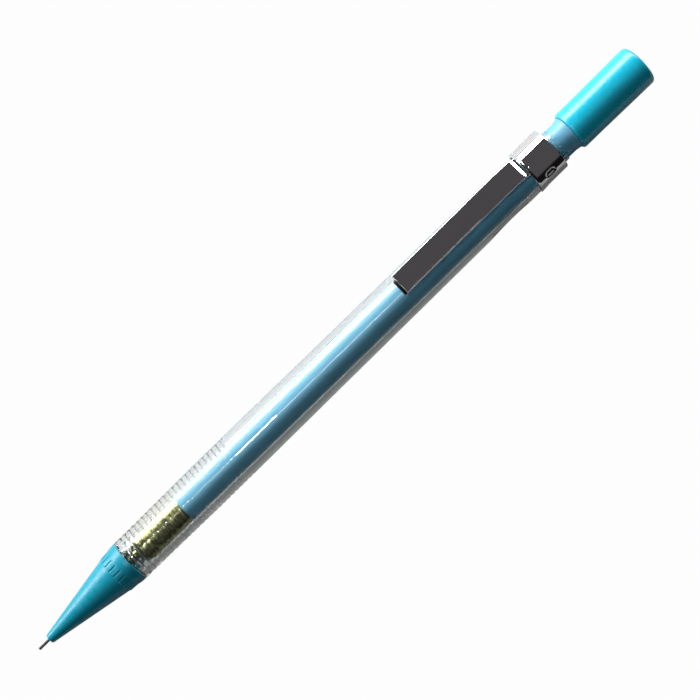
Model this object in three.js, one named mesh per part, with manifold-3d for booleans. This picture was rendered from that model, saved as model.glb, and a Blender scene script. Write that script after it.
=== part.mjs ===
// A push-button mechanical pencil for 0.5 mm leads, lying on its side.
//
// Every piece is drawn in the pencil's own frame, in millimetres: x runs along the pencil's axis from the front end
// of the nose cone (x = 0) to the push cap, and the lead points towards -x. The finished pencil is then set down on
// z = 0 with its length along X, and its clip on top, leaning CLIP_TURN towards +Y.

import * as THREE from "three";
import { mergeVertices } from "three/addons/utils/BufferGeometryUtils.js";
import Module from "manifold-3d";

const wasm = await Module();
wasm.setup();

// ---- Driving dimensions -------------------------------------------------------------------------------------

const ROUND = 24; // facets of a large turned piece
const SMALL = 16; // facets of a small turned piece
const DEGREE = Math.PI / 180;

// lead
const LEAD_R = 0.25;
const LEAD_LENGTH = 60;
const LEAD_OUT = 2.4; // bare lead in front of the cone
const SPARE_LEADS = 3;
const SPARE_START = 37;

// nose cone
const TIP_R = 0.95;
const TIP_ROUND = 0.5;
const CONE_SLOPE = Math.tan(9.9 * DEGREE);
const CONE_END = 15.6; // where the plain taper ends and the fluted collar begins
const CONE_REAR = 19.2;
const FLUTES = 20;
const FLUTE_DEPTH = 0.14;

// barrel
const BARREL_FRONT = CONE_REAR + 0.03;
const SPIGOT_FRONT = 14.95;
const SPIGOT_R = 2.85;
const SPIGOT_BORE = 2.2;
const RIB_START = 20.7;
const RIB_PITCH = 1.018;
const RIBS = 23;
const RIB_DEPTH = 0.12;
const BARREL_BORE = 2.95;
const BARREL_REAR = 119.7;
const FLAT_X = 105.6; // centre of the shallow gate flat near the clip
const FLAT_HALF = 4.7;
const FLAT_DEPTH = 0.2;
const FLAT_TURN = -90; // degrees from straight up, towards +Y

// clip
const CLIP_TURN = 19; // degrees from straight up, towards +Y
const CLIP_WIDTH = 4.2;
const SHEET = 0.3;
const CLIP_TIP = 83.5;
const CLIP_ROOT = 111.1;
const TIP_HEIGHT = 5.0; // outer face above the pencil's axis, at the tip
const ROOT_HEIGHT = 5.5;
const BAND_FRONT = 112.5;
const BAND_REAR = 118.5;
const BAND_R = 4.07; // the band's round back
const BULGE_R = 4.15; // its fuller side, under the clip
const BULGE_SHIFT = 0.7;
const BAND_TOP = BULGE_R + BULGE_SHIFT;

// chuck, sleeve and spring
const CHUCK_FRONT = 9.7;
const JAW_ROOT = 17.0;
const HEAD_R = 1.28;
const STEM_R = 0.9;
const SLOT = 0.2;
const RING_FRONT = 10.6;
const RING_REAR = 12.0;
const SLEEVE_FRONT = 10.3;
const SLEEVE_WEB = 13.2;
const SEAT = 14.4;
const WIRE_R = 0.17;
const SPRING_R = 1.78; // to the middle of the wire
const SPRING_TURNS = 7;

// push train
const CONNECTOR_FRONT = 21.7;
const TUBE_FRONT = 31.6;
const TUBE_REAR = 134;
const CAP_RIM = 122.8;
const CAP_REAR = 139.4;
const HOLDER_FRONT = 127.4;

// ---- Materials ----------------------------------------------------------------------------------------------

function finish(color, roughness, metalness, extra = {}) {
  return new THREE.MeshStandardMaterial({ color, roughness, metalness, ...extra });
}

const TEAL = finish(0x14aac3, 0.28, 0);
const CLEAR = finish(0xe6ecec, 0.08, 0, { transparent: true, opacity: 0.35 });
const LIGHT_BLUE = finish(0x64aacd, 0.35, 0);
const BRASS = finish(0xb5a35a, 0.3, 1);
const CHROME = finish(0xd8d8dc, 0.08, 1);
const STEEL = finish(0x9a9ca0, 0.35, 1);
const RUBBER = finish(0x2b2b2d, 0.85, 0);
const VINYL = finish(0xf1efe9, 0.75, 0);
const GRAPHITE = finish(0x463c3c, 0.55, 0);
const WHITE_PLASTIC = finish(0xe9e9e6, 0.4, 0);

// ---- Tools --------------------------------------------------------------------------------------------------

// A solid turned about the pencil's axis from an outline of [x, radius] points, with a flat facet facing down.
function turned(outline, segments = ROUND) {
  const area = outline.reduce((sum, [x, r], i) => {
    const [nextX, nextR] = outline[(i + 1) % outline.length];
    return sum + x * nextR - nextX * r;
  }, 0);
  const ordered = area > 0 ? [...outline].reverse() : outline;
  const points = ordered.map(([x, r]) => new THREE.Vector2(r, x));
  const closes = points.every((p) => p.x > 0);
  if (closes) points.push(points[0].clone());
  const geometry = new THREE.LatheGeometry(points, segments);
  geometry.rotateZ(-Math.PI / 2);
  geometry.rotateX(Math.PI / segments);
  return geometry;
}

function solidOf(geometry) {
  const bare = geometry.clone();
  bare.deleteAttribute("normal");
  bare.deleteAttribute("uv");
  const merged = mergeVertices(bare, 1e-4);
  const vertProperties = new Float32Array(merged.attributes.position.array);
  const triVerts = new Uint32Array(merged.index.array);
  return new wasm.Manifold(new wasm.Mesh({ numProp: 3, vertProperties, triVerts }));
}

function geometryOf(solid) {
  const mesh = solid.getMesh();
  const geometry = new THREE.BufferGeometry();
  geometry.setAttribute("position", new THREE.BufferAttribute(mesh.vertProperties, 3));
  geometry.setIndex(new THREE.BufferAttribute(mesh.triVerts, 1));
  geometry.computeVertexNormals();
  return geometry;
}

function cut(geometry, ...tools) {
  return geometryOf(tools.reduce((rest, tool) => rest.subtract(solidOf(tool)), solidOf(geometry)));
}

function box(x0, x1, y0, y1, z0, z1) {
  const geometry = new THREE.BoxGeometry(x1 - x0, y1 - y0, z1 - z0);
  return geometry.translate((x0 + x1) / 2, (y0 + y1) / 2, (z0 + z1) / 2);
}

// A plate seen from the side: an outline of [x, z] points, extruded to a width centred on y = 0.
function plate(outline, width) {
  const shape = new THREE.Shape(outline.map(([x, z]) => new THREE.Vector2(x, z)));
  const geometry = new THREE.ExtrudeGeometry(shape, { depth: width, bevelEnabled: false });
  return geometry.translate(0, 0, -width / 2).rotateX(Math.PI / 2);
}

// Points on an arc about [x, r], from one angle to another, in degrees from the +x direction.
function arc(x, r, radius, from, to, steps) {
  return Array.from({ length: steps + 1 }, (_, i) => {
    const angle = (from + ((to - from) * i) / steps) * DEGREE;
    return [x + radius * Math.cos(angle), r + radius * Math.sin(angle)];
  });
}

const pencil = new THREE.Group();
pencil.name = "mechanical_pencil";

function add(name, geometry, material, group = pencil) {
  const mesh = new THREE.Mesh(geometry, material);
  mesh.name = name;
  group.add(mesh);
  return mesh;
}

// ---- Leads --------------------------------------------------------------------------------------------------

function leadGeometry(start) {
  const end = start + LEAD_LENGTH;
  const soft = 0.08;
  return turned(
    [[start, 0], [start, LEAD_R - soft], [start + soft, LEAD_R], [end, LEAD_R], [end, 0]],
    12,
  );
}

function addLeads() {
  add("lead", leadGeometry(-LEAD_OUT), GRAPHITE);
  const offset = 1.58; // they lie on the bottom of the reservoir's bore
  const spread = 21 * DEGREE;
  for (let i = 0; i < SPARE_LEADS; i++) {
    const angle = (i - (SPARE_LEADS - 1) / 2) * spread;
    const spare = add(`spare_lead_${i + 1}`, leadGeometry(SPARE_START), GRAPHITE);
    spare.position.set(0, offset * Math.sin(angle), -offset * Math.cos(angle));
  }
}

// ---- Nose cone and lead retainer ----------------------------------------------------------------------------

function coneRadius(x) {
  return TIP_R + (x - TIP_ROUND) * CONE_SLOPE;
}

function addNose() {
  const shell = turned([
    [0, 0.31],
    ...arc(TIP_ROUND, TIP_R - TIP_ROUND, TIP_ROUND, 180, 100, 3),
    [CONE_END, coneRadius(CONE_END)],
    [CONE_END + 0.1, coneRadius(CONE_END) + 0.12],
    [17.2, 3.78],
    [17.8, 3.9],
    [18.4, 3.97],
    [CONE_REAR - 0.1, 3.97],
    [CONE_REAR, 3.9],
    [CONE_REAR, 2.98],
    [14.3, 2.98],
    [14.3, 2.2],
    [10.2, 2.2],
    [10.2, 1.85],
    [9.8, 1.85],
    [9.8, 1.45],
    [5.6, 1.45],
    [5.6, 1.06],
    [3.4, 1.06],
    [3.2, 0.31],
  ]);
  const flutes = Array.from({ length: FLUTES }, (_, i) => {
    const floor = coneRadius(CONE_END) + 0.12 - FLUTE_DEPTH;
    const groove = box(CONE_END + 0.02, 17.25, -0.11, 0.11, floor, floor + 1);
    return groove.rotateX((i / FLUTES) * 2 * Math.PI);
  });
  add("nose_cone", cut(shell, ...flutes), TEAL);
  add("lead_retainer", turned([[3.5, 0.29], [3.5, 0.9], [3.7, 1.01], [5.4, 1.01], [5.4, 0.29]], SMALL), RUBBER);
}

// ---- Barrel -------------------------------------------------------------------------------------------------

function ribs() {
  const outline = [];
  for (let i = 0; i < RIBS; i++) {
    const x = RIB_START + i * RIB_PITCH;
    const crest = 3.98 + 0.14 * Math.min(1, i / 15);
    outline.push([x, crest - RIB_DEPTH], [x + 0.22, crest - 0.015], [x + 0.8, crest - 0.015]);
  }
  return outline;
}

function addBarrel() {
  const ribEnd = RIB_START + RIBS * RIB_PITCH;
  const shell = turned([
    [SPIGOT_FRONT, SPIGOT_BORE],
    [SPIGOT_FRONT, SPIGOT_R - 0.2],
    [SPIGOT_FRONT + 0.2, SPIGOT_R],
    [18.5, SPIGOT_R],
    [18.6, SPIGOT_R - 0.15],
    [BARREL_FRONT, SPIGOT_R - 0.15],
    [BARREL_FRONT, 3.88],
    [BARREL_FRONT + 0.1, 3.97],
    [20.55, 3.98],
    ...ribs(),
    [ribEnd, 4.0],
    [ribEnd + 0.3, 4.11],
    [65, 4.01],
    [99, 3.9],
    [111, 3.84],
    [112.4, 3.83],
    [112.45, 3.72],
    [118.3, 3.42],
    [118.6, 3.33],
    [BARREL_REAR - 0.15, 3.28],
    [BARREL_REAR, 3.22],
    [BARREL_REAR, 3.15],
    [BARREL_REAR - 0.5, 3.07],
    [116, 3.06],
    [40, BARREL_BORE],
    [20.2, BARREL_BORE],
    [19.6, 2.74],
    [19.45, SPIGOT_BORE],
  ]);
  const sag = (FLAT_HALF * FLAT_HALF) / (2 * FLAT_DEPTH); // radius of the wheel that grinds the flat
  const wheel = new THREE.CylinderGeometry(sag, sag, 10, 96);
  const surface = 3.88;
  wheel.translate(FLAT_X, 0, surface - FLAT_DEPTH + sag);
  wheel.rotateX(-FLAT_TURN * DEGREE);
  add("barrel", cut(shell, wheel), CLEAR);
}

// ---- Clip ---------------------------------------------------------------------------------------------------

// How far the clip band stands outside its round back, at an angle from the clip's direction.
function bandBulge(angle) {
  const across = BULGE_SHIFT * Math.sin(angle);
  const reach = BULGE_SHIFT * Math.cos(angle) + Math.sqrt(BULGE_R * BULGE_R - across * across);
  return Math.max(0, reach - BAND_R);
}

function addClipBand() {
  const geometry = turned([
    [BAND_FRONT, BAND_R - SHEET],
    [BAND_FRONT, BAND_R - 0.04],
    [BAND_FRONT + 0.06, BAND_R],
    [115, BAND_R - 0.1],
    [117.8, BAND_R - 0.27],
    [118.2, BAND_R - 0.4],
    [BAND_REAR, BAND_R - 0.6],
    [BAND_REAR, BAND_R - 0.64],
    [118.1, BAND_R - 0.6],
    [117.7, BAND_R - 0.27 - SHEET],
  ]);
  const points = geometry.attributes.position;
  for (let i = 0; i < points.count; i++) {
    const y = points.getY(i);
    const z = points.getZ(i);
    const radius = Math.hypot(y, z);
    const grown = 1 + bandBulge(Math.atan2(y, z) - CLIP_TURN * DEGREE) / radius;
    points.setXYZ(i, points.getX(i), y * grown, z * grown);
  }
  add("clip_band", geometry, CHROME);
}

function addClipBlade() {
  const turn = new THREE.Group();
  turn.rotation.x = -CLIP_TURN * DEGREE;
  pencil.add(turn);
  const bend = 0.6;
  const end = BAND_FRONT - 0.12;
  const tipBottom = 4.12;
  const outside = plate(
    [
      [CLIP_TIP, tipBottom],
      ...arc(CLIP_TIP + bend, TIP_HEIGHT - bend, bend, 180, 90, 4),
      [CLIP_ROOT, ROOT_HEIGHT],
      [CLIP_ROOT + 0.45, ROOT_HEIGHT - 0.12],
      [end - 0.3, BAND_TOP + 0.06],
      [end, BAND_TOP],
      [end, BAND_TOP - SHEET],
      [CLIP_ROOT - 0.4, ROOT_HEIGHT - SHEET - 0.35],
      [CLIP_TIP + 12, TIP_HEIGHT - SHEET - 0.2],
      [CLIP_TIP + 5, tipBottom + 0.12],
      [CLIP_TIP + 1, tipBottom],
    ],
    CLIP_WIDTH,
  );
  const inside = plate(
    [
      [CLIP_TIP + SHEET, tipBottom - 1],
      [CLIP_TIP + SHEET, TIP_HEIGHT - bend],
      [CLIP_TIP + bend, TIP_HEIGHT - SHEET],
      [CLIP_ROOT, ROOT_HEIGHT - SHEET],
      [end - 0.35, BAND_TOP + 0.06 - SHEET],
      [end + 1, BAND_TOP - SHEET],
      [end + 1, tipBottom - 1],
    ],
    CLIP_WIDTH - 2 * SHEET,
  );
  add("clip_blade", cut(outside, inside), CHROME, turn);
}

// ---- Chuck, ring, sleeve and spring -------------------------------------------------------------------------

// Everything within a third of a turn about the axis, less half a slot on each side. The first faces +Y.
function jawSector(index) {
  const apex = SLOT / Math.sqrt(3);
  const far = 4;
  const side = far * Math.cos(30 * DEGREE);
  const edge = apex + far * Math.sin(30 * DEGREE);
  const corners = [[0, apex], [-side, edge], [-side, far], [side, far], [side, edge]];
  const shape = new THREE.Shape(corners.map(([u, v]) => new THREE.Vector2(u, v)));
  const wedge = new THREE.ExtrudeGeometry(shape, { depth: JAW_ROOT + 2, bevelEnabled: false });
  wedge.rotateY(Math.PI / 2);
  return wedge.rotateX((index * 2 * Math.PI) / 3);
}

function addChuck() {
  const collet = turned(
    [
      [CHUCK_FRONT, 0.29],
      [CHUCK_FRONT, 1.12],
      [CHUCK_FRONT + 0.2, HEAD_R],
      [10.1, HEAD_R],
      [12.6, 0.94],
      [12.8, STEM_R],
      [JAW_ROOT, STEM_R],
      [JAW_ROOT, 0.45],
      [12.4, 0.45],
      [12.0, 0.29],
    ],
    24,
  );
  for (let i = 0; i < 3; i++) {
    const jaw = geometryOf(solidOf(collet).intersect(solidOf(jawSector(i))));
    add(`chuck_jaw_${i + 1}`, jaw, BRASS);
  }
  add(
    "chuck_body",
    turned([[JAW_ROOT + 0.1, 0.45], [JAW_ROOT + 0.1, STEM_R], [27.4, STEM_R], [27.5, 0.8], [27.5, 0.45]], 24),
    BRASS,
  );
  add(
    "chuck_ring",
    turned(
      [
        [RING_FRONT, 1.28],
        [RING_FRONT, 1.62],
        [RING_FRONT + 0.1, 1.71],
        [RING_REAR - 0.1, 1.71],
        [RING_REAR, 1.62],
        [RING_REAR, 1.1],
      ],
      24,
    ),
    BRASS,
  );
}

function addSleeve() {
  add(
    "chuck_sleeve",
    turned(
      [
        [SLEEVE_FRONT, 1.8],
        [SLEEVE_FRONT, 2.05],
        [SLEEVE_FRONT + 0.1, 2.13],
        [14.36, 2.13],
        [14.36, 2.82],
        [14.9, 2.82],
        [14.9, 2.05],
        [SEAT, 2.05],
        [SEAT, 1.02],
        [SLEEVE_WEB, 1.02],
        [SLEEVE_WEB, 1.8],
      ],
      24,
    ),
    BRASS,
  );
}

class SpringPath extends THREE.Curve {
  constructor(start, end) {
    super();
    this.start = start;
    this.end = end;
  }

  // The first and last turns are closed up, as on a ground compression spring.
  getPoint(t, target = new THREE.Vector3()) {
    const ends = 1 / SPRING_TURNS;
    const closed = 2.1 * WIRE_R;
    const middle = this.end - this.start - 2 * closed;
    const eased = THREE.MathUtils.clamp((t - ends) / (1 - 2 * ends), 0, 1);
    const closing = Math.min(t, ends) / ends + Math.max(0, t - 1 + ends) / ends;
    const x = this.start + closed * closing + middle * eased;
    const angle = t * SPRING_TURNS * 2 * Math.PI;
    return target.set(x, SPRING_R * Math.cos(angle), SPRING_R * Math.sin(angle));
  }
}

function addSpring() {
  const section = new THREE.Shape().absarc(0, 0, WIRE_R, 0, 2 * Math.PI);
  const path = new SpringPath(SEAT + WIRE_R + 0.04, CONNECTOR_FRONT - WIRE_R - 0.04);
  const geometry = new THREE.ExtrudeGeometry(section, {
    extrudePath: path,
    steps: SPRING_TURNS * 16,
    curveSegments: 3,
    bevelEnabled: false,
  });
  add("chuck_spring", geometry, STEEL);
}

// ---- Push train: connector, reservoir tube, eraser and cap --------------------------------------------------

function addConnector() {
  add(
    "chuck_connector",
    turned([
      [CONNECTOR_FRONT, 0.96],
      [CONNECTOR_FRONT, 2.2],
      [CONNECTOR_FRONT + 0.4, 2.64],
      [24.2, 2.64],
      [24.3, 2.5],
      [24.8, 2.5],
      [24.9, 2.64],
      [TUBE_FRONT - 0.3, 2.64],
      [TUBE_FRONT - 0.1, 2.5],
      [TUBE_FRONT - 0.1, 1.84],
      [35.8, 1.84],
      [36, 1.7],
      [36, 1.45],
      [34.4, 0.6],
      [27.6, 0.6],
      [27.6, 0.96],
    ]),
    BRASS,
  );
}

function addReservoir() {
  add(
    "reservoir_tube",
    turned([
      [TUBE_FRONT, 1.92],
      [TUBE_FRONT, 2.5],
      [TUBE_FRONT + 0.15, 2.6],
      [112, 2.86],
      [118, 2.95],
      [120.2, 2.99],
      [121.6, 3.0],
      [122.2, 3.09],
      [122.6, 3.24],
      [CAP_RIM - 0.05, 3.3],
      [CAP_RIM - 0.05, 2.92],
      [TUBE_REAR - 0.3, 2.9],
      [TUBE_REAR, 2.75],
      [TUBE_REAR, 2.22],
      [HOLDER_FRONT - 0.1, 2.2],
      [HOLDER_FRONT - 0.3, 2.05],
    ]),
    LIGHT_BLUE,
  );
}

function addEraser() {
  const flange = TUBE_REAR + 0.06;
  add(
    "eraser_holder",
    turned(
      [
        [HOLDER_FRONT, 0.26],
        [HOLDER_FRONT, 2.0],
        [HOLDER_FRONT + 0.2, 2.12],
        [flange, 2.12],
        [flange, 2.62],
        [flange + 0.1, 2.72],
        [flange + 0.6, 2.72],
        [flange + 0.7, 2.62],
        [flange + 0.7, 1.95],
        [HOLDER_FRONT + 0.8, 1.95],
        [HOLDER_FRONT + 0.8, 0.26],
      ],
      24,
    ),
    WHITE_PLASTIC,
  );
  add(
    "eraser",
    turned(
      [[HOLDER_FRONT + 0.85, 0], [HOLDER_FRONT + 0.85, 1.9], [137.4, 1.9], [137.8, 1.5], [137.8, 0]],
      24,
    ),
    VINYL,
  );
  add("cleaning_pin", turned([[112, 0], [112.4, 0.2], [128.2, 0.2], [128.2, 0]], 12), STEEL);
}

function addCap() {
  const edge = 0.8;
  const reach = 3.9;
  add(
    "cap",
    turned([
      [138.2, 0],
      [138.2, 2.7],
      [137.9, 3.0],
      [CAP_RIM + 0.15, 3.0],
      [CAP_RIM, 3.12],
      [CAP_RIM, 3.5],
      [CAP_RIM + 0.12, 3.66],
      [CAP_RIM + 0.4, 3.74],
      [127, 3.74],
      [CAP_REAR - edge, reach],
      ...arc(CAP_REAR - edge, reach - edge, edge, 75, 0, 4),
      [CAP_REAR, 0],
    ]),
    TEAL,
  );
}

addLeads();
addNose();
addBarrel();
addClipBand();
addClipBlade();
addChuck();
addSleeve();
addSpring();
addConnector();
addReservoir();
addEraser();
addCap();

// Set the pencil down: its box is centred on the origin, and its lowest facets lie on z = 0.
pencil.updateMatrixWorld(true);
const extent = new THREE.Box3().setFromObject(pencil, true);
const middle = extent.getCenter(new THREE.Vector3());
pencil.position.set(-middle.x, -middle.y, -extent.min.z);

export default pencil;
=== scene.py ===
"""A push-button mechanical pencil in clear and teal plastic, lying on a pale floor with its clip on top.

Every piece is drawn in the pencil's own frame, in millimetres: x runs along the axis from the front end of
the nose cone to the push cap, r is the distance from the axis, and an angle of 0 faces straight up, with +Y
at 90 degrees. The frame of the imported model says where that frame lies, and where most pieces begin and end.
"""

import bpy
import numpy as np
from mathutils import Matrix, Vector


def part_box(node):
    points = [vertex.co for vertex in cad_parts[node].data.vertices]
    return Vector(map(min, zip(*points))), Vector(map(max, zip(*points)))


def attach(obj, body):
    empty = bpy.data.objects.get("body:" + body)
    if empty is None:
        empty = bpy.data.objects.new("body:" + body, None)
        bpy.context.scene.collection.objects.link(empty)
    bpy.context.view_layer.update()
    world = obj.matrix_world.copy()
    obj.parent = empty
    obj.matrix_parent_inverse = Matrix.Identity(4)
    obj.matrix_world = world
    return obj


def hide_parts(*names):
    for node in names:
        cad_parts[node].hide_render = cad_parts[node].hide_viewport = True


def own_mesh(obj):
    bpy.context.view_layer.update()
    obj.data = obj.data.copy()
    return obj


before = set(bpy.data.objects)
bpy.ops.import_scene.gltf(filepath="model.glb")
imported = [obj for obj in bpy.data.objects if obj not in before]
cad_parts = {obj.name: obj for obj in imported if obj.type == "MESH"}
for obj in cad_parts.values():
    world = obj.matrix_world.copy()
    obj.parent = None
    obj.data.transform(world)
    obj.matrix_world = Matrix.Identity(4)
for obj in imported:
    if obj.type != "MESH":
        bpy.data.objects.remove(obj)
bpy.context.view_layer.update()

MM = 0.001
FULL = 2 * np.pi
CLIP_TURN = np.radians(19)  # the clip leans this far from straight up, towards +Y

# ---- Where things are --------------------------------------------------------------------------------

nose_lo, nose_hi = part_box("nose_cone")
AXIS = (nose_lo + nose_hi) / 2
AXIS.x = nose_lo.x


def span(node):
    """(front x, rear x, radius) of a CAD node in the pencil's frame, in millimetres."""
    lo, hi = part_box(node)
    return (lo.x - AXIS.x) / MM, (hi.x - AXIS.x) / MM, (hi.y - lo.y) / 2 / MM


def place(x, r, angle):
    """Points of the row frame from arrays of x, radius and angle in the pencil's frame."""
    x, r, angle = np.broadcast_arrays(x, r, angle)
    y = AXIS.y + MM * r * np.sin(angle)
    z = AXIS.z + MM * r * np.cos(angle)
    return np.stack([AXIS.x + MM * x, y, z], -1)


# ---- Mesh tools --------------------------------------------------------------------------------------


def rounded(points, closed=False, steps=5):
    """An outline of (x, r) or (x, r, fillet radius) points, with each stated corner rounded off."""
    spots = [np.array(p[:2], float) for p in points]
    fillets = [p[2] if len(p) > 2 else 0.0 for p in points]
    out = []
    for i, (here, fillet) in enumerate(zip(spots, fillets)):
        inside = closed or 0 < i < len(spots) - 1
        if not fillet or not inside:
            out.append(here)
            continue
        before = spots[i - 1] - here
        after = spots[(i + 1) % len(spots)] - here
        reach_before, reach_after = np.linalg.norm(before), np.linalg.norm(after)
        before, after = before / reach_before, after / reach_after
        half = np.arccos(np.clip(before @ after, -1, 1)) / 2
        back = min(fillet / np.tan(half), 0.48 * reach_before, 0.48 * reach_after)
        for t in np.linspace(0, 1, steps):
            out.append(here + before * back * (1 - t) ** 2 + after * back * t**2)
    return out


def refined(outline, start, end, step):
    """The outline with its stretches between two x places cut into short steps."""
    out = []
    for i, here in enumerate(outline):
        out.append(here)
        if i + 1 == len(outline):
            break
        there = outline[i + 1]
        if min(here[0], there[0]) >= start - 1e-6 and max(here[0], there[0]) <= end + 1e-6:
            parts = int(np.ceil(np.linalg.norm(np.subtract(there, here)) / step))
            out += [here + (there - here) * k / parts for k in range(1, parts)]
    return out


def mesh_object(name, points, faces, material, sharp=32):
    mesh = bpy.data.meshes.new(name)
    mesh.from_pydata(np.asarray(points).tolist(), [], [list(map(int, f)) for f in faces])
    mesh.validate()
    mesh.shade_smooth()
    mesh.set_sharp_from_angle(angle=np.radians(sharp))
    mesh.materials.append(material)
    piece = bpy.data.objects.new(name, mesh)
    bpy.context.scene.collection.objects.link(piece)
    return piece


def lathe(name, outline, material, segments=96, angles=None, warp=None, sharp=32):
    """A body turned about the axis from an outline of (x, r) points. An outline that starts and ends on the
    axis is solid; any other closes on itself. warp(x, r, angle) gives each point its final radius."""
    outline = np.array([p[:2] for p in outline], float)
    turn = np.arange(segments) * FULL / segments if angles is None else np.asarray(angles)
    count = len(turn)
    solid = outline[0][1] < 1e-6 and outline[-1][1] < 1e-6
    following = np.roll(outline, -1, axis=0)
    area = np.sum(outline[:, 0] * following[:, 1] - following[:, 0] * outline[:, 1])
    if area < 0:
        outline = outline[::-1]
    rings = outline[1:-1] if solid else outline
    x = rings[:, 0][:, None] + 0 * turn
    r = rings[:, 1][:, None] + 0 * turn
    angle = 0 * x + turn
    if warp:
        r = warp(x, r, angle)
    points = place(x, r, angle).reshape(-1, 3)
    faces = []
    last = len(rings) - 1 if solid else len(rings)
    for i in range(last):
        j = (i + 1) % len(rings)
        for k in range(count):
            n = (k + 1) % count
            faces.append((i * count + k, i * count + n, j * count + n, j * count + k))
    if solid:
        ends = place(outline[[0, -1], 0], 0, 0)
        first, final = len(points), len(points) + 1
        points = np.concatenate([points, ends])
        base = (len(rings) - 1) * count
        for k in range(count):
            n = (k + 1) % count
            faces.append((first, n, k))
            faces.append((final, base + k, base + n))
    return mesh_object(name, points, faces, material, sharp)


def smoothstep(low, high, value):
    t = np.clip((value - low) / (high - low), 0, 1)
    return t * t * (3 - 2 * t)


def finished(piece, body, slot, *nodes):
    """Sets a piece on its CAD body, in the place of the CAD nodes it stands for."""
    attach(piece, body)
    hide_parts(*nodes)
    return piece


# ---- Materials ---------------------------------------------------------------------------------------


def linear(red, green, blue):
    """A colour given as 0-255 screen values, as linear light."""
    shares = (red / 255, green / 255, blue / 255)
    return tuple(((c + 0.055) / 1.055) ** 2.4 if c > 0.04 else c / 12.92 for c in shares) + (1,)


class Finish:
    """A material with one Principled shader, and the textures that vary it."""

    def __init__(self, name, color, roughness, **sockets):
        self.material = bpy.data.materials.new(name)
        self.material.use_nodes = True
        self.nodes = self.material.node_tree.nodes
        self.shader = self.nodes["Principled BSDF"]
        self.output = self.nodes["Material Output"]
        self.shader.inputs["Base Color"].default_value = color
        self.shader.inputs["Roughness"].default_value = roughness
        for socket, value in sockets.items():
            self.shader.inputs[socket.replace("_", " ")].default_value = value
        self.color = color
        self.bump = None

    def link(self, out, into):
        self.material.node_tree.links.new(out, into)

    def node(self, kind, **settings):
        made = self.nodes.new(kind)
        for key, value in settings.items():
            if key in made.inputs:
                made.inputs[key].default_value = value
            else:
                setattr(made, key, value)
        return made

    def noise(self, scale, detail, stretch=(1, 1, 1)):
        """Noise fixed to the piece. scale is in features per metre, and stretch multiplies it per axis."""
        where = self.node("ShaderNodeTexCoord")
        size = self.node("ShaderNodeMapping")
        size.inputs["Scale"].default_value = stretch
        texture = self.node("ShaderNodeTexNoise", Scale=scale, Detail=detail)
        self.link(where.outputs["Object"], size.inputs["Vector"])
        self.link(size.outputs["Vector"], texture.inputs["Vector"])
        return texture.outputs["Fac"]

    def ranged(self, value, low, high, start=0.35, end=0.65):
        """A texture's middle values spread from low to high."""
        node = self.node("ShaderNodeMapRange")
        for socket, number in (("From Min", start), ("From Max", end), ("To Min", low), ("To Max", high)):
            node.inputs[socket].default_value = number
        self.link(value, node.inputs["Value"])
        return node.outputs["Result"]

    def tinted(self, value, dark, light, start=0.35, end=0.65):
        """Colours the surface from dark to light times its own colour."""
        mix = self.node("ShaderNodeMix", data_type="RGBA")
        mix.inputs["A"].default_value = tuple(c * dark for c in self.color[:3]) + (1,)
        mix.inputs["B"].default_value = tuple(min(1, c * light) for c in self.color[:3]) + (1,)
        self.link(self.ranged(value, 0, 1, start, end), mix.inputs["Factor"])
        self.link(mix.outputs["Result"], self.shader.inputs["Base Color"])
        return self

    def polished(self, value, low, high, start=0.35, end=0.65):
        self.link(self.ranged(value, low, high, start, end), self.shader.inputs["Roughness"])
        return self

    def raised(self, value, height):
        """Adds a bump of that height in millimetres."""
        bump = self.node("ShaderNodeBump", Strength=1.0, Distance=height * MM)
        self.link(value, bump.inputs["Height"])
        if self.bump:
            self.link(self.bump.outputs["Normal"], bump.inputs["Normal"])
        self.link(bump.outputs["Normal"], self.shader.inputs["Normal"])
        self.bump = bump
        return self


def moulded(name, color, roughness, **sockets):
    """Injection-moulded plastic: a faint flow mottle, a fine skin, and hairline scuffs."""
    made = Finish(name, color, roughness, **sockets)
    made.tinted(made.noise(260, 5.0, stretch=(0.4, 1, 1)), 0.94, 1.05)
    made.polished(made.noise(900, 6.0), roughness * 0.82, roughness * 1.3)
    made.raised(made.noise(9000, 3.0), 0.0015)
    scuffs = made.noise(1400, 8.0, stretch=(0.12, 2.2, 2.2))
    made.raised(made.ranged(scuffs, 0, 1, 0.6, 0.72), -0.0008)
    return made


def turned_metal(name, color, roughness, lines, **sockets):
    """Metal turned on a lathe: fine rings round the axis, and a tarnish that varies slowly."""
    made = Finish(name, color, roughness, Metallic=1.0, **sockets)
    made.tinted(made.noise(420, 5.0), 0.82, 1.08)
    made.polished(made.noise(1100, 6.0, stretch=(3, 0.6, 0.6)), roughness * 0.7, roughness * 1.4)
    made.raised(made.noise(lines, 2.0, stretch=(1, 0.004, 0.004)), 0.004)
    return made


def chrome_finish():
    """Chromium plate: a near mirror with faint wipe marks."""
    made = Finish("polished_chrome", (0.86, 0.86, 0.88, 1), 0.05, Metallic=1.0)
    made.tinted(made.noise(180, 3.0), 0.965, 1.0)
    wipes = made.noise(700, 8.0, stretch=(0.2, 1.6, 1.6))
    made.polished(wipes, 0.03, 0.07, 0.4, 0.75)
    made.raised(made.noise(240, 2.0), 0.0004)
    return made


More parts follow.
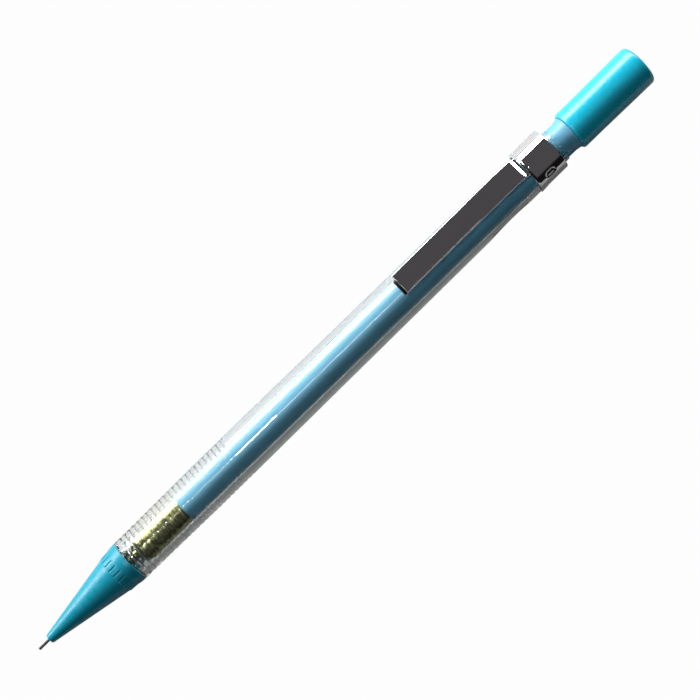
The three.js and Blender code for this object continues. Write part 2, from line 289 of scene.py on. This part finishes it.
def clear_finish():
    """Clear styrene. Light from lamps and matt surfaces passes it straight, so what is inside is lit."""
    made = Finish("clear_plastic", (0.955, 0.97, 0.965, 1), 0.012, IOR=1.5)
    made.shader.inputs["Transmission Weight"].default_value = 1.0
    made.raised(made.noise(330, 2.0, stretch=(0.3, 1, 1)), 0.0004)
    surface = made.shader.outputs["BSDF"]
    path = made.node("ShaderNodeLightPath")
    for ray in ("Is Shadow Ray", "Is Diffuse Ray"):
        through = made.node("ShaderNodeBsdfTransparent")
        through.inputs["Color"].default_value = (0.93, 0.95, 0.945, 1)
        mix = made.node("ShaderNodeMixShader")
        made.link(path.outputs[ray], mix.inputs[0])
        made.link(surface, mix.inputs[1])
        made.link(through.outputs["BSDF"], mix.inputs[2])
        surface = mix.outputs["Shader"]
    made.link(surface, made.output.inputs["Surface"])
    return made


def graphite_finish():
    made = Finish("graphite", linear(62, 54, 54), 0.42, Metallic=0.35)
    made.tinted(made.noise(5200, 6.0), 0.7, 1.35)
    made.polished(made.noise(3000, 4.0), 0.3, 0.6)
    made.raised(made.noise(14000, 3.0, stretch=(0.15, 1, 1)), 0.004)
    return made


def rubber_finish():
    made = Finish("black_rubber", linear(38, 38, 40), 0.8)
    made.tinted(made.noise(2600, 5.0), 0.8, 1.3)
    made.polished(made.noise(1700, 4.0), 0.68, 0.92)
    made.raised(made.noise(8000, 4.0), 0.01)
    return made


def vinyl_finish():
    made = Finish("white_vinyl", linear(240, 238, 232), 0.62)
    made.shader.inputs["Subsurface Weight"].default_value = 0.25
    made.shader.inputs["Subsurface Radius"].default_value = (0.0006, 0.0005, 0.0004)
    made.tinted(made.noise(1500, 6.0), 0.95, 1.02)
    made.polished(made.noise(2400, 5.0), 0.5, 0.78)
    made.raised(made.noise(5200, 5.0), 0.006)
    return made


TEAL = moulded(
    "teal_plastic", linear(2, 173, 201), 0.26, IOR=1.53, Coat_Weight=0.5, Coat_Roughness=0.3
).material
# The nose cone gets a darker, rougher copy of the cap's teal: painted shade, drawing the same plastic as if
# less lit on the nose.
NOSE_TEAL_PAINTED_SHADE = moulded("teal_plastic_painted_shade", linear(1, 134, 157), 0.34, IOR=1.5).material
BLUE = moulded("light_blue_plastic", linear(84, 158, 190), 0.44, IOR=1.5, Specular_IOR_Level=1.0).material
WHITE = moulded("white_plastic", linear(233, 233, 230), 0.38, IOR=1.49).material
BRASS = turned_metal("yellow_brass", (0.37, 0.37, 0.18, 1), 0.24, 9000).material
STEEL = turned_metal("spring_steel", (0.45, 0.46, 0.48, 1), 0.3, 5000).material
CHROME = chrome_finish().material
CLEAR = clear_finish().material
GRAPHITE = graphite_finish().material
RUBBER = rubber_finish().material
VINYL = vinyl_finish().material

# ---- Leads -------------------------------------------------------------------------------------------


def make_lead(node, body):
    """A round graphite lead with a slightly crumbled, blunt point."""
    lo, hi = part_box(node)
    front, rear, _ = span(node)
    radius = (hi.z - lo.z) / 2 / MM
    outline = rounded(
        [
            (front, 0),
            (front, radius * 0.8, 0.05),
            (front + 0.1, radius, 0.05),
            (rear, radius, 0.02),
            (rear, 0),
        ]
    )
    piece = lathe(f"{node}_body", refined(outline, front, rear, 2), GRAPHITE, 28)
    piece.data.transform(Matrix.Translation((0, (lo.y + hi.y) / 2 - AXIS.y, (lo.z + hi.z) / 2 - AXIS.z)))
    return finished(piece, body, "graphite", node)


# ---- Nose cone ---------------------------------------------------------------------------------------

TIP_R = 0.95
TIP_ROUND = 0.5
CONE_SLOPE = np.tan(np.radians(9.9))
COLLAR = 15.6  # where the fluted collar begins
FLUTES = 20
FLUTE_DEPTH = 0.13
FLUTE_HALF = np.radians(1.75)
THREAD_PITCH = 1.05
THREAD_HEIGHT = 0.12
SOCKET_R = 2.98  # the nose cone's threaded bore


def cone_radius(x):
    return TIP_R + (x - TIP_ROUND) * CONE_SLOPE


def thread(x, angle):
    """The height of a right-handed thread, from 0 at its root to 1 on its crest."""
    phase = (x / THREAD_PITCH + angle / FULL) % 1
    return smoothstep(0.18, 0.4, phase) * (1 - smoothstep(0.6, 0.82, phase))


def make_nose():
    rear = span("nose_cone")[1]
    outline = rounded(
        [
            (0, 0.31, 0.08),
            (0, TIP_R - 0.08, 0.42),
            (TIP_ROUND, TIP_R, 0.3),
            (COLLAR, cone_radius(COLLAR), 0.03),
            (COLLAR + 0.1, cone_radius(COLLAR) + 0.12, 0.04),
            (17.2, 3.78, 0.6),
            (17.8, 3.9, 0.6),
            (18.4, 3.97, 0.5),
            (rear - 0.02, 3.97, 0.12),
            (rear, 3.8, 0.05),
            (rear, SOCKET_R, 0.08),
            (14.3, SOCKET_R),
            (14.3, 2.2),
            (10.2, 2.2),
            (10.2, 1.85),
            (9.8, 1.85),
            (9.8, 1.45),
            (5.6, 1.45),
            (5.6, 1.06),
            (3.4, 1.06),
            (3.2, 0.31),
        ],
        closed=True,
    )
    outline = refined(outline, 14.4, 19.1, 0.14)
    outline = refined(outline, 0.4, COLLAR, 1.0)
    pitch = FULL / FLUTES
    offsets = np.array([-1.35, -1, -0.75, 0, 0.75, 1, 1.35]) * FLUTE_HALF
    lands = np.linspace(offsets[-1], pitch + offsets[0], 6)[1:-1]
    angles = np.concatenate([i * pitch + np.concatenate([offsets, lands]) for i in range(FLUTES)])

    def flute(x, r, angle):
        away = np.abs((angle + pitch / 2) % pitch - pitch / 2)
        groove = 1 - smoothstep(0.7 * FLUTE_HALF, 1.1 * FLUTE_HALF, away)
        along = smoothstep(COLLAR, COLLAR + 0.05, x) * (1 - smoothstep(16.9, 17.45, x))
        outside = r > 3.4
        cut = r - FLUTE_DEPTH * groove * along * outside
        bore = (np.abs(r - SOCKET_R) < 0.02) & (x > 14.4) & (x < 19)
        return cut + bore * THREAD_HEIGHT * (1 - thread(x, -angle))

    piece = lathe("nose_cone_shell", outline, NOSE_TEAL_PAINTED_SHADE, angles=angles, warp=flute, sharp=38)
    return finished(piece, "nose", "teal_plastic", "nose_cone")


def make_retainer():
    front, rear, radius = span("lead_retainer")
    outline = rounded(
        [
            (front, 0.28, 0.05),
            (front, radius - 0.1, 0.06),
            (front + 0.2, radius, 0.08),
            (front + 0.8, radius, 0.08),
            (front + 0.95, radius - 0.06, 0.08),
            (front + 1.1, radius, 0.08),
            (rear, radius, 0.06),
            (rear, 0.5, 0.08),
            (rear - 0.25, 0.28, 0.05),
        ],
        closed=True,
    )
    piece = lathe("lead_retainer_rubber", outline, RUBBER, 48)
    return finished(piece, "retainer", "black_rubber", "lead_retainer")


# ---- Barrel ------------------------------------------------------------------------------------------

SPIGOT_R = 2.84  # the crest of the thread that the nose cone screws on to
SPIGOT_END = 18.5
SPIGOT_THREAD = 0.1
RIB_START = 20.7
RIB_PITCH = 1.018
RIBS = 23
RIB_DEPTH = 0.06
RIB_CROWN = 0.09
GROOVE_HALF = 0.04
FLAT_X = 105.6  # the middle of a shallow scoop on the side away from the window
FLAT_HALF = 4.7
FLAT_DEPTH = 0.2
FLAT_R = 3.88  # the barrel's radius there


def rib_outline():
    """Round beads side by side, with a narrow groove between each and the next. The first ones swell."""
    rising = (0, 0.015, 0.03, 0.05, 0.08, 0.12, 0.2, 0.35)
    shares = [*rising, 0.5, *(round(1 - s, 3) for s in reversed(rising[1:]))]
    out = []
    for i in range(RIBS):
        crest = 3.98 + 0.14 * min(1, i / 15)
        for share in shares:
            x = RIB_START + (i + share) * RIB_PITCH
            groove = np.exp(-((min(share, 1 - share) * RIB_PITCH / GROOVE_HALF) ** 2))
            out.append((x, crest - RIB_CROWN * (2 * share - 1) ** 2 - RIB_DEPTH * groove))
    return out


def make_barrel():
    front, rear, _ = span("barrel")
    shoulder = span("nose_cone")[1] + 0.03
    rib_end = RIB_START + RIBS * RIB_PITCH
    outline = rounded(
        [
            (front, 2.2, 0.05),
            (front, 2.62, 0.08),
            (front + 0.22, SPIGOT_R, 0.08),
            (SPIGOT_END, SPIGOT_R, 0.05),
            (18.65, 2.7, 0.08),
            (shoulder, 2.7, 0.05),
            (shoulder, 3.9, 0.08),
            (shoulder + 0.12, 3.98, 0.06),
            (20.5, 3.985, 0.1),
            *rib_outline(),
            (rib_end, 3.99, 0.05),
            (rib_end + 0.35, 4.11, 0.12),
            (65, 4.01, 3),
            (99, 3.9, 3),
            (111, 3.84, 1),
            (112.4, 3.82, 0.02),
            (112.46, 3.72, 0.02),
            (118.4, 3.22, 1),
            (rear - 0.08, 3.19, 0.04),
            (rear, 3.14, 0.03),
            (rear, 3.08, 0.03),
            (rear - 0.08, 3.05, 0.04),
            (40, 2.95, 3),
            (19.46, 2.95, 0.12),
            (19.46, 2.2, 0.05),
        ],
        closed=True,
    )
    outline = refined(outline, front + 0.22, SPIGOT_END, 0.1)
    outline = refined(outline, 60, 111, 0.5)
    sag = FLAT_HALF**2 / (2 * FLAT_DEPTH)

    def shape(x, r, angle):
        limit = FLAT_R - FLAT_DEPTH + (x - FLAT_X) ** 2 / (2 * sag)
        facing = np.cos(angle + np.pi / 2)
        flat = np.where(facing > 0.5, limit / np.maximum(facing, 0.5), np.inf)
        outer = (r > 3.6) & (np.abs(x - FLAT_X) < FLAT_HALF + 0.3)
        r = np.where(outer, np.minimum(r, flat), r)
        spigot = (np.abs(r - SPIGOT_R) < 0.01) & (x < SPIGOT_END) & (x > front + 0.2)
        return r + spigot * (SPIGOT_THREAD * thread(x, -angle) - SPIGOT_THREAD)

    piece = lathe("barrel_shell", outline, CLEAR, 144, warp=shape, sharp=50)
    return finished(piece, "barrel", "clear_plastic", "barrel")


# ---- Clip --------------------------------------------------------------------------------------------

SHEET = 0.3
CLIP_WIDTH = 4.2
BAND_R = 4.07
BAND_TAPER = 0.5
BULGE_R = 4.15
BULGE_SHIFT = 0.7
BULGE_RAMP = 0.43  # the length of the bulge's slope at the ring's front
DIMPLE_X = 115.3
DIMPLE_ANGLE = np.radians(-36)
DIMPLE_HALF = 0.45
DIMPLE_DEPTH = 0.16


def make_band():
    """A tapered ring, pressed out round the clip's side so that its top stays level."""
    front, rear, _ = span("clip_band")
    taper = BAND_TAPER / (rear - front)
    rear_r = BAND_R - BAND_TAPER
    blend = 0.06
    outline = rounded(
        [
            (front, BAND_R - SHEET, 0.04),
            (front, BAND_R, 0.08),
            (rear, rear_r, 0.16),
            (rear, rear_r - SHEET, 0.04),
        ],
        closed=True,
    )
    outline = refined(outline, front, rear, 0.1)

    def pressed(x, r, angle):
        turn = angle - CLIP_TURN
        across = BULGE_SHIFT * np.sin(turn)
        reach = BULGE_SHIFT * np.cos(turn) + np.sqrt(BULGE_R**2 - across**2)
        rise = 0.5 + 0.5 * np.clip((x - front) / BULGE_RAMP, 0, 1)
        level = BAND_R + np.minimum(0, reach - BAND_R) + np.maximum(0, reach - BAND_R) * rise
        ring = BAND_R - taper * (x - front)
        skin = (ring + level + np.hypot(ring - level, blend)) / 2
        side = (angle - DIMPLE_ANGLE + np.pi) % FULL - np.pi
        along = np.maximum(0, np.abs(x - DIMPLE_X) - DIMPLE_HALF)
        distance = np.hypot(along, side * BAND_R)
        return r - ring + skin - DIMPLE_DEPTH * (1 - smoothstep(0.4, 0.66, distance))

    piece = lathe("clip_band_shell", outline, CHROME, 256, warp=pressed, sharp=40)
    return finished(piece, "barrel", "polished_chrome", "clip_band")


def clip_point(x, across, height):
    """A point beside the clip's middle line, at a height above the pencil's axis towards the clip."""
    out = np.array([0, np.sin(CLIP_TURN), np.cos(CLIP_TURN)])
    side = np.array([0, np.cos(CLIP_TURN), -np.sin(CLIP_TURN)])
    return np.array(AXIS) + MM * (np.array([x, 0, 0]) + side * across + out * height)


def make_blade():
    """The pressed steel blade: a flat strap with turned-down sides, a bevelled, closed tip and a gooseneck
    root. Heights are from the pencil's axis: low is the foot of the sides at the tip, high the top there,
    back the highest point, root where the gooseneck begins, and seat where it meets the ring."""
    tip, rear, _ = span("clip_blade")
    low, high, back, root, seat = 4.12, 5.0, 5.45, 5.12, 4.5
    bevel = 0.98  # the slope of the tip's bevel
    least_side = 0.06  # how far the sides always reach below the sheet
    crown = rounded(
        [
            (tip, high - 0.6 * bevel),
            (tip + 0.54, high - 0.06 * bevel),
            (tip + 0.6, high, 0.035),
            (107.5, back, 3),
            (111.42, root, 0.08),
            (111.5, root - 0.05),
            (111.9, root - 0.31, 0.03),
            (111.97, seat + 0.05, 0.05),
            (112.2, seat - 0.03, 0.08),
            (rear + 0.05, seat),
        ],
        steps=7,
    )
    crown = np.array(refined(crown, tip, 112, 0.8))
    stations = np.union1d(crown[:, 0], [tip + SHEET])
    top = np.interp(stations, *crown.T)
    under = top - SHEET * np.hypot(1, np.gradient(top, stations))
    shelf = top - SHEET - least_side
    deep_to, shallow_from = tip + 1, tip + 6.5
    foot = np.minimum(under - least_side, low + (shelf - low) * smoothstep(deep_to, shallow_from, stations))
    foot[:2] = low

    lean = np.radians(72)
    corner, facet, hem, draft = 0.14, 0.12, 0.05, 0.36
    half = CLIP_WIDTH / 2
    shoulder = half - corner * np.sin(lean) - facet * np.cos(lean)
    edge = [(shoulder + corner * np.sin(a), corner * (1 - np.cos(a))) for a in np.linspace(0, lean, 6)]
    edge.append((half, edge[-1][1] + facet * np.sin(lean)))
    lining = [(half - SHEET - hem, 0), (half - SHEET, hem)]
    points = []

    def row(x, top, foot, edge):
        right = [(across, top - drop) for across, drop in edge]
        across, height = right[-1]
        right.append((across - draft * (height - foot), foot))
        left = [(-across, height) for across, height in reversed(right)]
        line = left + [(-1, top), (0, top), (1, top)] + right
        points.extend(clip_point(x, across, height) for across, height in line)
        return list(range(len(points) - len(line), len(points)))

    outside = [row(*at, edge) for at in zip(stations, top, foot)]
    inside = [row(*at, lining) for at in zip(stations[1:], under[1:], foot[1:])]
    faces = []
    for near, far in zip(outside, outside[1:]):
        faces += [(near[i], far[i], far[i + 1], near[i + 1]) for i in range(len(near) - 1)]
    for near, far in zip(inside, inside[1:]):
        faces += [(near[i + 1], far[i + 1], far[i], near[i]) for i in range(len(near) - 1)]
    for outer, next_outer, inner, next_inner in zip(outside[1:], outside[2:], inside, inside[1:]):
        faces.append((outer[-1], next_outer[-1], next_inner[-1], inner[-1]))
        faces.append((inner[0], next_inner[0], next_outer[0], outer[0]))
    front, second, first_lining = outside[0], outside[1], inside[0]
    faces.append(front)
    faces.append(first_lining[::-1])
    faces.append((front[-1], second[-1], first_lining[-1], first_lining[0], second[0], front[0]))
    faces.append(outside[-1][::-1] + inside[-1])
    piece = mesh_object("clip_blade_pressing", points, faces, CHROME, 16)
    return finished(piece, "clip", "polished_chrome", "clip_blade")


# ---- Chuck, sleeve and spring ------------------------------------------------------------------------

SPRING_SEAT = 14.4


def make_jaw(index):
    """A third of the slotted brass collet, with flat sides along its slots."""
    front, rear, _ = span(f"chuck_jaw_{index}")
    slot = 0.2
    outline = rounded(
        [
            (front, 0.3, 0.03),
            (front, 1.14, 0.05),
            (front + 0.2, 1.27, 0.06),
            (10.1, 1.27, 0.1),
            (12.6, 0.94, 0.3),
            (12.9, 0.9, 0.2),
            (rear, 0.9),
            (rear, 0.46),
            (12.4, 0.46, 0.1),
            (12.0, 0.3, 0.1),
        ],
        closed=True,
    )
    outline = np.array(outline)
    middle = np.pi / 2 - (index - 1) * FULL / 3
    shares = np.linspace(-1, 1, 25)
    gap = np.arcsin(slot / 2 / outline[:, 1])
    angle = middle + shares[None, :] * (FULL / 6 - gap[:, None])
    points = place(outline[:, 0][:, None], outline[:, 1][:, None], angle).reshape(-1, 3)
    count, width = len(outline), len(shares)
    faces = []
    for i in range(count):
        j = (i + 1) % count
        for k in range(width - 1):
            faces.append((j * width + k, j * width + k + 1, i * width + k + 1, i * width + k))
    faces.append([i * width for i in range(count)][::-1])
    faces.append([i * width + width - 1 for i in range(count)])
    piece = mesh_object(f"chuck_jaw_{index}_brass", points, faces, BRASS)
    return finished(piece, f"jaw_{index}", "yellow_brass", f"chuck_jaw_{index}")


def make_chuck():
    front, rear, _ = span("chuck_body")
    outline = rounded(
        [(front, 0.46), (front, 0.9, 0.03), (rear - 0.1, 0.9, 0.05), (rear, 0.8, 0.03), (rear, 0.46)],
        closed=True,
    )
    finished(lathe("chuck_body_brass", outline, BRASS, 48), "pusher", "yellow_brass", "chuck_body")
    front, rear, _ = span("chuck_ring")
    outline = rounded(
        [
            (front, 1.3, 0.03),
            (front, 1.64, 0.06),
            (front + 0.12, 1.71, 0.06),
            (rear - 0.12, 1.71, 0.06),
            (rear, 1.64, 0.06),
            (rear, 1.12, 0.04),
        ],
        closed=True,
    )
    finished(lathe("chuck_ring_brass", outline, BRASS, 64), "ring", "yellow_brass", "chuck_ring")


def make_sleeve():
    front, rear, _ = span("chuck_sleeve")
    web = 13.2  # where the sleeve closes in round the collet's stem
    outline = rounded(
        [
            (front, 1.8, 0.04),
            (front, 2.05, 0.04),
            (front + 0.12, 2.13, 0.06),
            (14.36, 2.13, 0.08),
            (14.36, 2.82, 0.06),
            (rear, 2.82, 0.06),
            (rear, 2.05, 0.06),
            (SPRING_SEAT, 2.05, 0.05),
            (SPRING_SEAT, 1.02, 0.05),
            (web, 1.02, 0.05),
            (web, 1.8, 0.1),
        ],
        closed=True,
    )
    finished(lathe("chuck_sleeve_brass", outline, BRASS, 72), "barrel", "yellow_brass", "chuck_sleeve")


def make_spring():
    """A compression spring, with its first and last turns closed up, drawn at its resting length."""
    front, rear, _ = span("chuck_spring")
    wire, coil, turns = 0.17, 1.78, 7
    around, steps = 12, 7 * 48
    t = np.linspace(0, 1, steps + 1)
    ends = 1 / turns
    closed = 2.1 * wire
    middle = rear - front - 2 * wire - 2 * closed
    closing = np.minimum(t, ends) / ends + np.maximum(0, t - 1 + ends) / ends
    x = front + wire + closed * closing + middle * np.clip((t - ends) / (1 - 2 * ends), 0, 1)
    angle = t * turns * FULL
    points = []
    for i in range(steps + 1):
        for k in range(around):
            a = k * FULL / around
            points.append((x[i] + wire * np.cos(a), coil + wire * np.sin(a), angle[i]))
    x, r, angle = np.array(points).T
    faces = []
    for i in range(steps):
        for k in range(around):
            n = (k + 1) % around
            base = i * around
            faces.append((base + around + k, base + around + n, base + n, base + k))
    faces.append(list(range(around)))
    faces.append([steps * around + k for k in range(around)][::-1])
    piece = mesh_object("chuck_spring_coil", place(x, r, angle), faces, STEEL)
    finished(piece, "barrel", "spring_steel", "chuck_spring")
    anchor = tuple(place(SPRING_SEAT, 0, 0))
    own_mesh(piece)


# ---- Push train --------------------------------------------------------------------------------------


def make_connector():
    """The brass part that joins the collet to the reservoir tube, finely ringed where it shows."""
    front, rear, _ = span("chuck_connector")
    tube = span("reservoir_tube")[0]
    middle_r, ring_height, ring_pitch, step = 2.605, 0.035, 0.36, 0.045
    ringed = np.arange(25, tube - 0.4, step)
    rings = [(x, middle_r + ring_height * np.cos(FULL * x / ring_pitch)) for x in ringed]
    outline = rounded(
        [
            (front, 0.96, 0.05),
            (front, 2.2, 0.08),
            (front + 0.4, 2.64, 0.1),
            (24.2, 2.64, 0.05),
            (24.3, 2.5, 0.05),
            (24.8, 2.5, 0.05),
            (24.9, 2.64, 0.05),
            *rings,
            (tube - 0.3, 2.64, 0.1),
            (tube - 0.1, 2.5, 0.06),
            (tube - 0.1, 1.84, 0.1),
            (rear - 0.2, 1.84, 0.08),
            (rear, 1.7, 0.06),
            (rear, 1.45, 0.1),
            (34.4, 0.6, 0.1),
            (27.6, 0.6),
            (27.6, 0.96),
        ],
        closed=True,
    )
    piece = lathe("chuck_connector_brass", outline, BRASS, 96)
    return finished(piece, "pusher", "yellow_brass", "chuck_connector")


def make_tube():
    front, rear, _ = span("reservoir_tube")
    rim = span("cap")[0]
    holder = span("eraser_holder")[0]
    outline = rounded(
        [
            (front, 1.92, 0.05),
            (front, 2.52, 0.06),
            (front + 0.15, 2.6, 0.08),
            (112, 2.86, 4),
            (118, 2.95, 2),
            (120.2, 2.99, 1),
            (121.6, 3.0, 1.2),
            (122.3, 3.12, 0.8),
            (rim - 0.05, 3.3, 0.05),
            (rim - 0.05, 2.92, 0.05),
            (rear - 0.3, 2.9, 0.1),
            (rear, 2.75, 0.08),
            (rear, 2.22, 0.08),
            (holder - 0.1, 2.2, 0.05),
            (holder - 0.3, 2.05, 0.1),
        ],
        closed=True,
    )
    outline = refined(outline, front + 0.2, 121, 3)
    piece = lathe("reservoir_tube_body", outline, BLUE, 112)
    return finished(piece, "pusher", "light_blue_plastic", "reservoir_tube")


def make_eraser_set():
    front, rear, _ = span("eraser_holder")
    flange = rear - 0.7
    outline = rounded(
        [
            (front, 0.26, 0.04),
            (front, 2.0, 0.1),
            (front + 0.2, 2.12, 0.1),
            (flange, 2.12, 0.05),
            (flange, 2.62, 0.08),
            (flange + 0.1, 2.72, 0.1),
            (rear - 0.1, 2.72, 0.1),
            (rear, 2.62, 0.08),
            (rear, 1.96, 0.08),
            (front + 0.8, 1.96, 0.1),
            (front + 0.8, 0.26, 0.04),
        ],
        closed=True,
    )
    finished(lathe("eraser_holder_cup", outline, WHITE, 72), "eraser", "white_plastic", "eraser_holder")
    front, rear, _ = span("eraser")
    outline = rounded(
        [
            (front, 0),
            (front, 1.9, 0.1),
            (rear - 0.4, 1.9, 0.3),
            (rear - 0.04, 1.55, 0.3),
            (rear, 0.9, 0.6),
            (rear, 0),
        ]
    )
    outline = refined(outline, front, rear, 0.5)

    def rubbed(x, r, angle):
        return r * (1 - 0.012 * smoothstep(rear - 2.5, rear, x) * np.sin(3 * angle + 2 * x) ** 2)

    finished(lathe("eraser_stick", outline, VINYL, 72, warp=rubbed), "eraser", "white_vinyl", "eraser")
    front, rear, _ = span("cleaning_pin")
    outline = rounded(
        [(front, 0), (front, 0.05, 0.04), (front + 0.5, 0.2, 0.2), (rear, 0.2, 0.02), (rear, 0)],
    )
    finished(lathe("cleaning_pin_wire", outline, STEEL, 20), "eraser", "spring_steel", "cleaning_pin")


def make_cap():
    rim, rear, _ = span("cap")
    outline = rounded(
        [
            (138.2, 0),
            (138.2, 2.7, 0.2),
            (137.9, 3.0, 0.1),
            (rim + 0.15, 3.0, 0.05),
            (rim, 3.12, 0.05),
            (rim, 3.48, 0.06),
            (rim + 0.14, 3.66, 0.08),
            (rim + 0.42, 3.74, 0.12),
            (127, 3.74, 3),
            (rear, 3.88, 0.95),
            (rear, 0),
        ],
        steps=9,
    )
    outline = refined(outline, rim + 0.5, rear, 0.8)
    piece = lathe("push_cap", outline, TEAL, 112)
    return finished(piece, "cap", "teal_plastic", "cap")


make_lead("lead", "lead")
for number in (1, 2, 3):
    make_lead(f"spare_lead_{number}", "spares")
    make_jaw(number)
make_nose()
make_retainer()
make_barrel()
make_band()
make_blade()
make_chuck()
make_sleeve()
make_spring()
make_connector()
make_tube()
make_eraser_set()
make_cap()

# ---- Floor, light and camera -------------------------------------------------------------------------

CENTRE = Vector((0, AXIS.y, AXIS.z))
PAGE_WHITE = (0.985, 0.985, 0.985, 1)


def make_floor():
    """A plain pale sheet that looks white to the camera. For other rays its colour is painted darker on the
    side away from the window, a painted shade.
    """
    depth = -0.05 * MM
    reach = 0.11
    corners = [(a * reach, b * reach, depth) for a, b in ((-1, -1), (1, -1), (1, 1), (-1, 1))]
    floor = Finish("floor_white", (0.9, 0.89, 0.87, 1), 0.9)
    where = floor.node("ShaderNodeTexCoord")
    axes = floor.node("ShaderNodeSeparateXYZ")
    floor.link(where.outputs["Object"], axes.inputs["Vector"])
    # painted shade: the floor's colour falls to 0.55 of itself towards -Y, away from the window
    floor.tinted(axes.outputs["Y"], 0.55, 1.0, -0.012, 0.012)
    glow = floor.node("ShaderNodeEmission", Strength=1.0)
    glow.inputs["Color"].default_value = PAGE_WHITE
    path = floor.node("ShaderNodeLightPath")
    mix = floor.node("ShaderNodeMixShader")
    floor.link(path.outputs["Is Camera Ray"], mix.inputs[0])
    floor.link(floor.shader.outputs["BSDF"], mix.inputs[1])
    floor.link(glow.outputs["Emission"], mix.inputs[2])
    floor.link(mix.outputs["Shader"], floor.output.inputs["Surface"])
    sheet = mesh_object("floor", corners, [(0, 1, 2, 3)], floor.material)


def make_world():
    """A room with a grey ceiling and dark walls, shown as plain white behind the object."""
    world = bpy.data.worlds.new("room")
    bpy.context.scene.world = world
    world.use_nodes = True
    nodes, links = world.node_tree.nodes, world.node_tree.links
    room = nodes["Background"]
    room.inputs["Color"].default_value = (0.072, 0.068, 0.07, 1)
    where = nodes.new("ShaderNodeTexCoord")
    axes = nodes.new("ShaderNodeSeparateXYZ")
    height = nodes.new("ShaderNodeMapRange")
    for socket, number in (("From Min", 0.5), ("From Max", 0.62), ("To Min", 0.09), ("To Max", 1.0)):
        height.inputs[socket].default_value = number
    links.new(where.outputs["Generated"], axes.inputs["Vector"])
    links.new(axes.outputs["Z"], height.inputs["Value"])
    links.new(height.outputs["Result"], room.inputs["Strength"])
    backdrop = nodes.new("ShaderNodeBackground")
    backdrop.inputs["Color"].default_value = PAGE_WHITE
    path = nodes.new("ShaderNodeLightPath")
    mix = nodes.new("ShaderNodeMixShader")
    links.new(path.outputs["Is Camera Ray"], mix.inputs[0])
    links.new(room.outputs["Background"], mix.inputs[1])
    links.new(backdrop.outputs["Background"], mix.inputs[2])
    links.new(mix.outputs["Shader"], nodes["World Output"].inputs["Surface"])


def softbox(name, tilt, distance, across, length, radiance, along=0.0):
    """A rectangular lamp, tilted from straight above towards +Y, facing the pencil. Lengths are in metres."""
    lamp = bpy.data.lights.new(name, "AREA")
    lamp.shape = "RECTANGLE"
    lamp.size, lamp.size_y = length, across
    lamp.energy = radiance * np.pi * across * length
    piece = bpy.data.objects.new(name, lamp)
    bpy.context.scene.collection.objects.link(piece)
    away = Vector((0, np.sin(tilt), np.cos(tilt)))
    piece.location = CENTRE + away * distance + Vector((along, 0, 0))
    piece.rotation_mode = "QUATERNION"
    piece.rotation_quaternion = (-away).to_track_quat("-Z", "Y")
    piece.visible_camera = False


def make_lights():
    """A long window low on the clip's side, and a narrow strip overhead that draws a fine line."""
    distance = 0.45
    window_tilt, window_half, strip_tilt = np.radians((74, 14, 8.5))
    softbox("window", window_tilt, distance, 2 * distance * np.tan(window_half), 2.4, 9.5)
    softbox("strip", strip_tilt, distance, 0.03, 0.05, 70.0, along=-0.067)
    softbox("strip_end", strip_tilt, distance, 0.022, 0.1, 5.5, along=0.008)


def make_camera():
    """Looks straight down, turned so that the pencil rises from lower left to upper right."""
    lens = bpy.data.cameras.new("camera")
    lens.sensor_width = 36
    lens.lens = 100.5
    camera = bpy.data.objects.new("camera", lens)
    bpy.context.scene.collection.objects.link(camera)
    camera.location = CENTRE + Vector((2.0 * MM, -0.46 * MM, 330.4 * MM))
    camera.rotation_euler = (0, 0, np.radians(-44.3))
    bpy.context.scene.camera = camera


make_floor()
make_world()
make_lights()
make_camera()
bpy.context.scene.view_settings.view_transform = "Standard"
